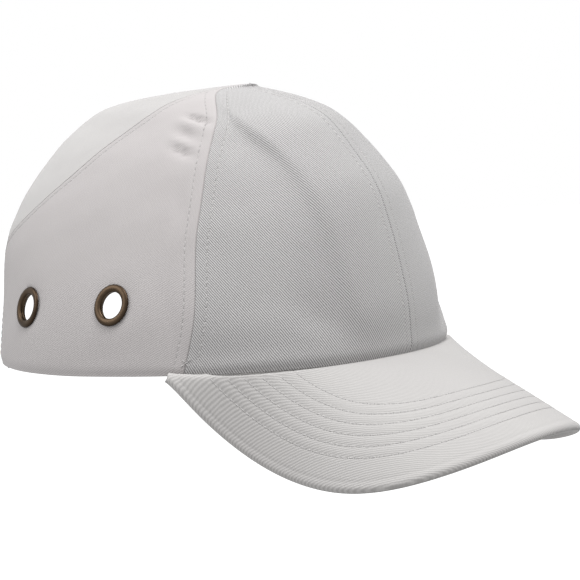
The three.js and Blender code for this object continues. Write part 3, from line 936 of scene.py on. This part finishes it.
def build_peak():
    """Top and under cloths of the peak, closed round the stiff board, with their stitch rows."""
    columns = 220
    middle, edge = peak_grid(columns, PEAK_ROWS)
    normals = surface_normals(middle)
    distance = nearest_distance(middle, edge)
    roll = 2.3
    height = PEAK_HALF_THICKNESS * np.sqrt(np.clip(1 - (1 - np.clip(distance / roll, 0, 1)) ** 2, 0, 1))
    puff = np.zeros_like(distance)
    for row in PEAK_STITCH_ROWS:
        puff -= 0.15 * bell(distance, row, 0.45)
    between = (distance > PEAK_STITCH_ROWS[0]) & (distance < PEAK_STITCH_ROWS[-1])
    wave = 1 - np.cos(2 * math.pi * (distance - PEAK_STITCH_ROWS[0]) / PEAK_ROW_STEP)
    puff += np.where(between, 0.05 * wave, 0)
    puff -= 0.12 * bell(distance, 4.2, 0.8)
    x, y = middle[..., 0], middle[..., 1]
    puff += 0.10 * np.sin(x / 9.0 + y / 17.0) * np.sin(y / 11.0 + 1.0)
    for label, sign, look in (("top", 1, peak_twill), ("under", -1, under_twill)):
        lift = 0.18 + height + puff * np.clip(distance / 4, 0, 1)
        points = middle + sign * lift[..., None] * normals
        root_angles = PEAK_ROOT_ANGLE * (1 - 2 * np.linspace(0, 1, columns))
        tuck = on_crown(np.zeros(columns), root_angles, -1.7)
        tuck[:, 2] = points[0, :, 2] + (0.2 if sign > 0 else 0.6)
        face = np.concatenate([tuck[None], points])
        normal = np.concatenate([normals[:1], normals])
        if sign > 0:
            outward = crown_normal(np.zeros(columns), root_angles)
            face = np.concatenate([(tuck + [0, 0, PEAK_ALLOWANCE])[None], face])
            normal = np.concatenate([outward[None], normal])
        cover = layer_object(f"peak_{label}_cloth", face, face - sign * PEAK_CLOTH * normal, sign > 0, True)
        finish_piece(cover, "cap", [f"peak_{label}_cover"], look)
        parts = []
        for row in PEAK_STITCH_ROWS:
            line, outs = [], []
            for column in range(columns):
                reach = distance[:, column]
                if reach.max() <= row or column < 3 or column > columns - 4:
                    continue
                order = np.argsort(reach)
                index = np.interp(row, reach[order], order.astype(float))
                low = int(index)
                part = index - low
                high = min(low + 1, len(reach) - 1)
                line.append(points[low, column] * (1 - part) + points[high, column] * part)
                outs.append(sign * normals[low, column])
            line, outs = np.array(line), np.array(outs)
            parts += stitch_parts(line + 0.06 * outs, outs)
        stitches(f"peak_{label}_stitches", parts, "cap")
        needle_holes(f"peak_{label}_needle_holes", parts, "cap")
    inner = PEAK_ROWS < 0.975
    half = np.clip(height - PEAK_CLOTH, 0.05, None)[inner, :, None] * normals[inner]
    board = layer_object("stiff_board", middle[inner] + half, middle[inner] - half, True, True)
    finish_piece(board, "cap", ["peak_board"], board_plastic)


# ---- Strips of tape, band and strap -----------------------------------------------------------


def rounded_section(width, thickness, points=20):
    """Closed outline of a flat strip with round edges, as (across, out) in millimetres."""
    outline = []
    for k in range(points):
        turn = 2 * math.pi * k / points
        c, s = math.cos(turn), math.sin(turn)
        across = width / 2 * math.copysign(abs(c) ** 0.35, c)
        out = thickness / 2 * math.copysign(abs(s) ** 0.8, s)
        outline.append((across, out))
    return outline


def sweep(name, path, across, out, width, thickness, points=20):
    """Strip of a round-edged section along a path, with end caps."""
    outline = rounded_section(width, thickness, points)
    ring = []
    for centre, side, up in zip(path, across, out):
        ring.append([centre + a * side + o * up for a, o in outline])
    ring = np.array(ring)
    faces = grid_faces(len(path), points, wrap=True)
    faces.append(tuple(reversed(range(points))))
    faces.append(tuple((len(path) - 1) * points + k for k in range(points)))
    piece = new_object(name, ring.reshape(-1, 3), faces)
    face_outward(piece)
    return piece


def unit(vectors):
    return vectors / np.linalg.norm(vectors, axis=-1, keepdims=True)


def frame_along(path, normals):
    heading = unit(np.gradient(path, axis=0))
    side = unit(np.cross(heading, normals))
    return side, unit(np.cross(side, heading))


def build_tapes():
    """Tapes that cover the seams inside, each with a stitch row near both edges."""
    runs = [("front", 1, centre, 0.16, 0.9, "seam_tape_front")]
    for side, sign in (("right", 1), ("left", -1)):
        runs.append((f"side_{side}", sign, side_seam, 0.16, 0.8, f"seam_tape_side_{side}"))
        runs.append((f"back_{side}", sign, back_seam, CORNER_SHARE + 0.02, 0.7, f"seam_tape_back_{side}"))
    for label, sign, seam, low, high, node in runs:
        shares = np.linspace(low, high, 70)
        angles = sign * seam(shares)
        normals = crown_normal(shares, angles)
        path = on_crown(shares, angles, np.full(70, -2.5))
        side, up = frame_along(path, normals)
        tape = sweep(f"inner_tape_{label}", path, side, up, 11.6, 0.55)
        finish_piece(tape, "cap", [node], tape_cloth)
        parts = []
        for offset in (-4.6, 4.6):
            parts += stitch_parts(path + offset * side - 0.32 * up, -up)
        stitches(f"inner_tape_stitches_{label}", parts, "cap")


def arch_path(count):
    """Edge of the half-moon opening, foot to foot, with the crown's normal there."""
    side = np.linspace(0.01, CORNER_SHARE, count // 4, endpoint=False)
    across = np.linspace(-1, 1, count - 2 * (count // 4))
    low_angles = arch_angle(side)
    back_shares = arch_share(across)
    back_angles = 180 + across * (180 - back_seam(back_shares))
    shares = np.concatenate([side, back_shares, side[::-1]])
    angles = np.concatenate([low_angles, back_angles, (360 - low_angles)[::-1]])
    return on_crown(shares, angles, np.full(len(shares), -0.7)), crown_normal(shares, angles)


def build_arch_binding():
    """Bias binding folded over the opening's raw edge, with its stitch row."""
    path, normals = arch_path(120)
    for _ in range(6):
        path[1:-1] = 0.25 * path[:-2] + 0.5 * path[1:-1] + 0.25 * path[2:]
    side, up = frame_along(path, normals)
    middle = np.array([0.0, 104.0, 0.0])
    inward = np.where(((middle - path) * side).sum(-1, keepdims=True) > 0, 1, -1)
    centre = path + side * inward * 0.6
    binding = sweep("arch_binding_cloth", centre, side, up, 7.0, 2.9)
    finish_piece(binding, "cap", ["arch_binding"], tape_cloth)
    line = centre - side * inward * 1.9 + up * 1.5
    parts = stitch_parts(line, up)
    stitches("arch_binding_stitches", parts, "cap")


def build_sweatband():
    """Folded cloth band inside the lower edge, sewn along its bottom."""
    angles = np.linspace(-141, 141, 200)
    low, high = 0.004, share_at_height(19)
    outer = [(0.0, -3.3), (0.06, -3.0), (0.5, -3.05), (0.94, -3.0), (1.0, -3.3), (1.0, -3.9)]
    inner = [(0.9, -4.35), (0.7, -4.6), (0.5, -4.7), (0.3, -4.6), (0.14, -4.35), (0.08, -4.15)]
    section = outer + inner + [(0.0, -4.1)]
    rings = []
    for climb, inset in section:
        shares = np.full(len(angles), low + (high - low) * climb)
        rings.append(on_crown(shares, angles, np.full(len(angles), inset)))
    rings = np.array(rings).swapaxes(0, 1)
    count = len(section)
    faces = grid_faces(len(angles), count, wrap=True)
    faces += [tuple(reversed(range(count))), tuple((len(angles) - 1) * count + k for k in range(count))]
    piece = new_object("sweatband_cloth", rings.reshape(-1, 3), faces)
    face_outward(piece)
    finish_piece(piece, "cap", ["sweatband"], band_cloth)
    shares = np.full(200, low + (high - low) * 0.14)
    line = on_crown(shares, angles, np.full(200, -4.42))
    parts = stitch_parts(line, -crown_normal(shares, angles))
    stitches("sweatband_stitches", parts, "cap")
    piece["width"] = float(travelled(rings, 1)[100, 4]) * MM
    piece["length"] = float(travelled(rings, 0)[-1, 0]) * MM


STRAP_LOW, STRAP_HIGH, STRAP_ROOT, STRAP_TAIL, PATCH_SPAN = -1, 12.5, 25.5, 14, 11


def strap_strip(name, inset, thickness, start, end, margin):
    angles = np.linspace(180 + start, 180 + end, 60)
    height = (STRAP_LOW + STRAP_HIGH) / 2
    shares = np.full(60, share_at_height(height))
    normals = crown_normal(shares, angles)
    normals[:, 2] = 0
    normals = unit(normals)
    path = on_crown(shares, angles, np.full(60, -inset - thickness / 2))
    path[:, 2] = height
    heading = unit(np.gradient(path, axis=0))
    up = np.tile([0.0, 0.0, 1.0], (60, 1))
    width = STRAP_HIGH - STRAP_LOW - 2 * margin
    return sweep(name, path, up, unit(np.cross(heading, up)), width, thickness), path, up, normals


def build_strap():
    """Two tails that overlap at the back, with hook-and-loop patches between them."""
    tail, patch = (1.0, 0.0), (0.6, 1.5)
    outer, inner, middle = (-STRAP_ROOT, STRAP_TAIL), (-STRAP_TAIL, STRAP_ROOT), (-PATCH_SPAN, PATCH_SPAN)
    layers = [
        ("strap_tail_outer", -0.5, tail, outer, "strap_tail", "strap_right", "side_cloth", strap_cloth),
        ("strap_loop_field", 0.8, patch, middle, "strap_tail", "strap_loop_patch", "hook_loop", loop_tape),
        ("strap_hook_field", 1.7, patch, middle, "cap", "strap_hook_patch", "hook_loop", hook_tape),
        ("strap_tail_inner", 2.6, tail, inner, "cap", "strap_left", "side_cloth", strap_cloth),
    ]
    for name, inset, (thickness, margin), (start, end), body, node, slot, look in layers:
        strip, path, up, out = strap_strip(name, inset, thickness, start, end, margin)
        finish_piece(strip, body, [node], look)
        if slot != "side_cloth":
            continue
        parts = []
        for edge in (-5.0, 5.0):
            parts += stitch_parts(path + edge * up + out * (thickness / 2 + 0.05), out)
        stitches(f"{name}_stitches", parts, body)


# ---- Head shell and pads ----------------------------------------------------------------------

SHELL_INSET, SHELL_THICKNESS, SHELL_TOP_SHARE = 6.0, 2.0, 0.86
RIM_FRONT, RIM_SIDE, RIM_REAR, RIM_REAR_CURVE = 28, 42, 62, 6
VENT_WIDTH, VENT_LENGTH = 9.0, 34.0
VENTS = [(28, 67), (52, 67), (118, 36), (142, 36)]


def shell_rim(angle):
    forward = np.cos(np.radians(angle))
    end = np.where(forward > 0, RIM_FRONT, RIM_REAR)
    curve = np.where(forward > 0, 2, RIM_REAR_CURVE)
    height = RIM_SIDE + (end - RIM_SIDE) * np.abs(forward) ** curve
    shares = np.linspace(0, 1, 2001)
    return np.interp(height, crown_rows(shares)[:, 0], shares)


def slot_cutter(angle, reach):
    """Upright slot with round ends, long way towards the middle."""
    turn = math.radians(90 - angle)
    radius, straight = VENT_WIDTH / 2, (VENT_LENGTH - VENT_WIDTH) / 2
    outline = []
    for k in range(25):
        t = -math.pi / 2 + math.pi * k / 24
        outline.append((straight + radius * math.cos(t), radius * math.sin(t)))
    outline += [(-x, -y) for x, y in outline]
    count = len(outline)
    c, s = math.cos(turn), math.sin(turn)
    points = []
    for z in (40, 160):
        points += [[c * (x + reach) - s * y, s * (x + reach) + c * y, z] for x, y in outline]
    faces = grid_faces(2, count, wrap=True)
    faces += [tuple(reversed(range(count))), tuple(count + k for k in range(count))]
    return new_object("slot_cutter", points, faces, smooth=False)


def build_shell():
    """Thin moulded dome with a low stiffening rib above the rim, bevelled edges and eight vents."""
    angles = -np.arange(0, 360, 2.5)
    climbs = np.concatenate([np.linspace(0, 0.05, 4), np.linspace(0.08, 1, 44)])
    rim = shell_rim(angles)
    points = []
    for climb in climbs:
        share = rim * (1 - climb) + climb * SHELL_TOP_SHARE
        rib = 0.5 * bell(climb, 0.10, 0.018)
        points.append(on_crown(share, angles, np.full(len(angles), -SHELL_INSET - 0.5 + rib)))
    last = points[-1]
    apex = np.array([0, CROWN_TOP_Y, CROWN_TOP_Z - SHELL_INSET - 0.5])
    for part in (0.12, 0.25, 0.4, 0.55, 0.7, 0.85):
        ring = last * (1 - part) + apex * part
        ring[:, 2] = last[:, 2] + (apex[2] - last[:, 2]) * (1 - (1 - part) ** 2)
        points.append(ring)
    grid = np.array(points)
    rows, columns = grid.shape[:2]
    faces = grid_faces(rows, columns, wrap=True)
    faces.append(tuple((rows - 1) * columns + k for k in range(columns)))
    shell = new_object("head_shell", grid.reshape(-1, 3), faces)
    rebuilt = bmesh.new()
    rebuilt.from_mesh(shell.data)
    bmesh.ops.recalc_face_normals(rebuilt, faces=rebuilt.faces)
    top = max(rebuilt.faces, key=lambda face: face.calc_center_median().z)
    if top.normal.z < 0:
        bmesh.ops.reverse_faces(rebuilt, faces=rebuilt.faces)
    rebuilt.to_mesh(shell.data)
    rebuilt.free()
    solid = shell.modifiers.new("Thickness", "SOLIDIFY")
    solid.thickness = SHELL_THICKNESS * MM
    solid.offset = -1
    cutters = []
    for angle, reach in VENTS:
        for sign in (1, -1):
            cutter = slot_cutter(sign * angle, reach)
            cutters.append(cutter)
            vent = shell.modifiers.new("Vent", "BOOLEAN")
            vent.operation = "DIFFERENCE"
            vent.object = cutter
    apply_modifiers(shell)
    for cutter in cutters:
        bpy.data.objects.remove(cutter)
    edges = shell.modifiers.new("Edges", "BEVEL")
    edges.width = 0.35 * MM
    edges.segments = 2
    edges.limit_method = "ANGLE"
    edges.angle_limit = math.radians(50)
    finish_piece(shell, "liner", ["impact_shell"], shell_plastic)


PAD_VOXEL, PAD_SWELL, PAD_PRESSURE, PAD_FRAMES = 3.2, 1.2, 4, 20
PADS = ["front_pad", "side_pad_right", "side_pad_left", "rear_pad", "crown_pad"]


def padded_from(node):
    """A foam pad swelled by a short cloth simulation from the CAD solid, which it replaces."""
    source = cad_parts[node]
    pad = bpy.data.objects.new(f"{node}_foam", source.data.copy())
    bpy.context.scene.collection.objects.link(pad)
    remesh = pad.modifiers.new("Remesh", "REMESH")
    remesh.mode = "VOXEL"
    remesh.voxel_size = PAD_VOXEL * MM
    smooth = pad.modifiers.new("Soft", "SMOOTH")
    smooth.factor = 0.5
    smooth.iterations = 3
    apply_modifiers(pad)
    count = len(pad.data.vertices)
    before = np.zeros(count * 3, np.float32)
    pad.data.vertices.foreach_get("co", before)
    before = before.reshape(-1, 3)
    after = simulate(pad)
    shift = after - before
    length = np.linalg.norm(shift, axis=1, keepdims=True)
    shift *= np.minimum(1, PAD_SWELL * MM / np.maximum(length, 1e-9))
    pad.data.vertices.foreach_set("co", (before + shift).astype(np.float32).ravel())
    finer = pad.modifiers.new("Finer", "SUBSURF")
    finer.levels = finer.render_levels = 1
    apply_modifiers(pad)
    pad.data.polygons.foreach_set("use_smooth", [True] * len(pad.data.polygons))
    finish_piece(pad, "liner", [node], foam)


def simulate(piece):
    """Runs the cloth under pressure and returns where its vertices end up."""
    scene = bpy.context.scene
    cloth = piece.modifiers.new("Cloth", "CLOTH")
    cloth.settings.use_pressure = True
    cloth.settings.uniform_pressure_force = PAD_PRESSURE
    cloth.settings.effector_weights.gravity = 0
    cloth.settings.quality = 5
    cloth.point_cache.frame_start = 1
    cloth.point_cache.frame_end = PAD_FRAMES
    for number in range(1, PAD_FRAMES + 1):
        scene.frame_set(number)
    shown = piece.evaluated_get(bpy.context.evaluated_depsgraph_get())
    after = np.zeros(len(piece.data.vertices) * 3, np.float32)
    shown.data.vertices.foreach_get("co", after)
    piece.modifiers.remove(cloth)
    scene.frame_set(1)
    return after.reshape(-1, 3)


# ---- Assembly ---------------------------------------------------------------------------------

build_panels()
build_eyelets()
build_peak()
build_tapes()
build_arch_binding()
build_sweatband()
build_strap()
build_shell()
for pad_node in PADS:
    padded_from(pad_node)


def crown_topstitching():
    """Rows of topstitching beside each crown seam."""
    parts = []
    for side in (1, -1):
        parts += stitch_parts(*topstitch_line(centre, TOPSTITCH["centre"], 0.01, 0.9, side))
    for sign in (1, -1):
        seam, rear = on_side(side_seam, sign), on_side(back_seam, sign)
        for side in (1, -1):
            parts += stitch_parts(*topstitch_line(seam, TOPSTITCH["side"], 0.01, 0.93, side))
        parts += stitch_parts(*topstitch_line(rear, TOPSTITCH["back"], CORNER_SHARE + 0.01, 0.93, -sign))
    stitches("crown_topstitching", parts, "cap")
    needle_holes("crown_needle_holes", parts, "cap")


def bar_tacks():
    """A small cross of thread at the foot of each side seam."""
    parts = []
    for sign in (1, -1):
        for slant in (1, -1):
            shares = np.linspace(0.018, 0.038, 12)
            spread = np.linspace(-1.3, 1.3, 12) * slant
            angles = sign * (side_seam(shares) + spread)
            line = on_crown(shares, angles, np.full(12, 0.25))
            parts += stitch_parts(line, crown_normal(shares, angles), pitch=2.0)
    stitches("bar_tacks", parts, "cap", length=1.8)


crown_topstitching()
bar_tacks()


# ---- Stage ------------------------------------------------------------------------------------

FLOOR_Z, FLOOR_SIZE = -0.42, 18e3
AMBIENT = 0.62
CAMERA_AZIMUTH, CAMERA_ELEVATION, CAMERA_ROLL = -52.196, 2.73, -4.691
CAMERA_DISTANCE, CAMERA_TARGET = 1.0, Vector((0, -0.0235, 0.0546))
CAMERA_LENS, CAMERA_SHIFT = 137.4, (0.0636, -0.0980)


def build_stage():
    half = FLOOR_SIZE / 2
    corners = [[-half, -half, 0], [half, -half, 0], [half, half, 0], [-half, half, 0]]
    floor = new_object("floor", corners, [(0, 1, 2, 3)])
    floor.location.z = FLOOR_Z
    look = Nodes("floor")
    look.set("Base Color", rgba(0.95, 0.95, 0.95))
    look.set("Roughness", 1.0)
    look.set("Specular IOR Level", 0.0)
    look.set("Emission Color", rgba(1, 1, 1))
    look.set("Emission Strength", 0.6)
    floor.data.materials.append(look.material)
    floor.visible_diffuse = False
    floor.visible_glossy = False

    world = bpy.data.worlds.new("studio")
    world.use_nodes = True
    tree = world.node_tree
    background = tree.nodes["Background"]
    background.inputs[0].default_value = (1, 1, 1, 1)
    path = tree.nodes.new("ShaderNodeLightPath")
    strength = tree.nodes.new("ShaderNodeMapRange")
    tree.links.new(path.outputs["Is Camera Ray"], strength.inputs["Value"])
    strength.inputs["To Min"].default_value = AMBIENT
    strength.inputs["To Max"].default_value = 1.0
    tree.links.new(strength.outputs["Result"], background.inputs[1])
    bpy.context.scene.world = world
    bpy.context.scene.view_settings.view_transform = "Standard"

    lamps = [
        ("top_softbox", (-0.02, -0.40, 1.15), (0, -0.04, 0.05), 0.9, 14.6),
        ("rear_softbox", (-0.70, 0.74, 0.80), (0, 0, 0.05), 0.8, 4.4),
    ]
    for name, place, target, size, power in lamps:
        light = bpy.data.lights.new(name, "AREA")
        light.shape = "DISK"
        light.size = size
        light.energy = power
        lamp = bpy.data.objects.new(name, light)
        lamp.location = place
        lamp.rotation_euler = (Vector(target) - Vector(place)).to_track_quat("-Z", "Y").to_euler()
        bpy.context.scene.collection.objects.link(lamp)


def build_camera():
    azimuth, elevation, roll = (math.radians(v) for v in (CAMERA_AZIMUTH, CAMERA_ELEVATION, CAMERA_ROLL))
    back = Vector((
        math.sin(azimuth) * math.cos(elevation),
        -math.cos(azimuth) * math.cos(elevation),
        math.sin(elevation),
    ))
    right = Vector((math.cos(azimuth), math.sin(azimuth), 0))
    up = back.cross(right)
    across = right * math.cos(roll) + up * math.sin(roll)
    upright = up * math.cos(roll) - right * math.sin(roll)
    data = bpy.data.cameras.new("camera")
    data.lens, data.sensor_width = CAMERA_LENS, 36
    data.shift_x, data.shift_y = CAMERA_SHIFT
    data.clip_end = 50
    camera = bpy.data.objects.new("camera", data)
    place = Matrix((across, upright, back)).transposed().to_4x4()
    place.translation = CAMERA_TARGET + back * CAMERA_DISTANCE
    camera.matrix_world = place
    bpy.context.scene.collection.objects.link(camera)
    bpy.context.scene.camera = camera


build_stage()
build_camera()
